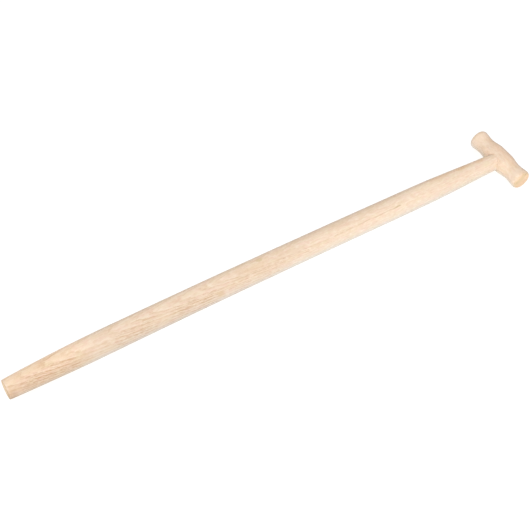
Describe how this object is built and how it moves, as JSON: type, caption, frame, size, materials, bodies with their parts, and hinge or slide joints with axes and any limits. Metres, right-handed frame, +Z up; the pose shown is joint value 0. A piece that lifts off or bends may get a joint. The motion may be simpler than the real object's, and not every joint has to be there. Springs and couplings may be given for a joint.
{
  "type": "t-handled wooden tool shaft",
  "caption": "Long turned ash shaft with a tapered socket end and a turned T-shaped crutch grip, held by a wedged tenon.",
  "frame": {"origin": "centre of the shaft's square-cut socket end face", "axes": "+X along the shaft towards the grip, +Y along the grip, +Z up when the shaft lies on the ground with its grip flat"},
  "size_m": [0.9, 0.1142, 0.038],
  "materials": {
    "ash_shaft": "fine sanded bare ash, grain along the shaft, end grain at the socket end",
    "ash_grip": "fine sanded bare ash, grain along the grip, end grain at both ends",
    "wedge_wood": "bare hardwood cut flush with the grip"
  },
  "bodies": {
    "root": {"shaft": "ash_shaft", "grip": "ash_grip", "wedge": "wedge_wood"}
  },
  "joints": []
}
